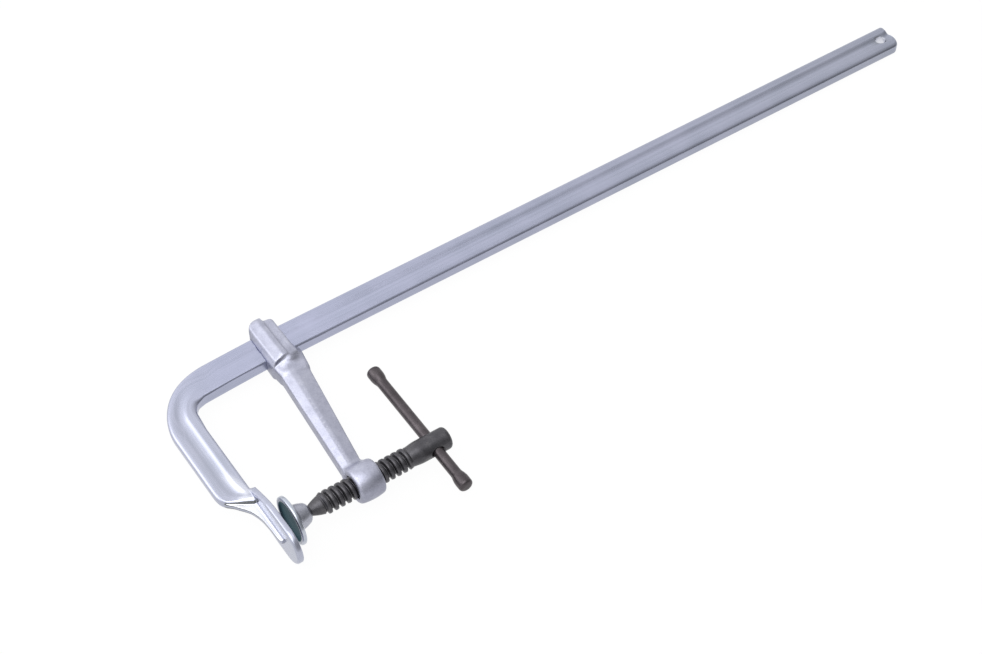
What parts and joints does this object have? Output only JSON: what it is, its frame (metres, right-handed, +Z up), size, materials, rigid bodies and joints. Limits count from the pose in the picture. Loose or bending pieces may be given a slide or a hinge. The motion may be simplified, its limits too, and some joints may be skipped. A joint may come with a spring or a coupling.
{
  "type": "bar clamp",
  "caption": "All-steel bar clamp: grooved rail bent into a fixed arm, forged sliding arm, black screw spindle with a tommy bar and a swivel pressure pad.",
  "frame": {"origin": "centre of the fixed jaw's face, on the spindle axis", "axes": "+X along the bar away from the fixed arm, +Y from the jaws towards the bar, +Z up while the clamp lies on its side"},
  "size_m": [0.6605, 0.1941, 0.035],
  "materials": {
    "zinc_rail": "zinc plated, satin, drawn along the bar",
    "zinc_forging": "zinc plated over a forged, slightly grainy skin",
    "black_oxide": "black oxide, satin",
    "pad_steel": "zinc plated, turned bright",
    "spring_steel": "plain spring steel"
  },
  "bodies": {
    "rail": {"rail": "zinc_rail"},
    "sliding_arm": {"sliding_arm": "zinc_forging"},
    "screw_carriage": {"retaining_ring": "spring_steel"},
    "spindle": {"spindle": "black_oxide"},
    "tommy_bar": {"tommy_bar": "black_oxide"},
    "pressure_pad": {"pressure_plate": "pad_steel", "socket_collar": "pad_steel"}
  },
  "joints": [
    {"name": "arm_slide", "type": "slide", "parent": "rail", "child": "sliding_arm", "axis": [1, 0, 0], "range_m": [0, 0.55]},
    {"name": "screw_feed", "type": "slide", "parent": "sliding_arm", "child": "screw_carriage", "axis": [1, 0, 0], "range_m": [-0.00381, 0.03001]},
    {"name": "screw_turn", "type": "hinge", "parent": "screw_carriage", "child": "spindle", "pos_m": [0.0138, 0, 0], "axis": [1, 0, 0], "range_deg": [-285, 2250]},
    {"name": "tommy_slide", "type": "slide", "parent": "spindle", "child": "tommy_bar", "axis": [0, 1, 0], "range_m": [-0.0535, 0.019]},
    {"name": "pad_tilt", "type": "hinge", "parent": "screw_carriage", "child": "pressure_pad", "pos_m": [0.0138, 0, 0], "axis": [0, 0, 1], "range_deg": [-6, 6]}
  ],
  "couplings": [
    {"joint": "screw_feed", "follows": "screw_turn", "m_per_rad": 0.00076394}
  ]
}
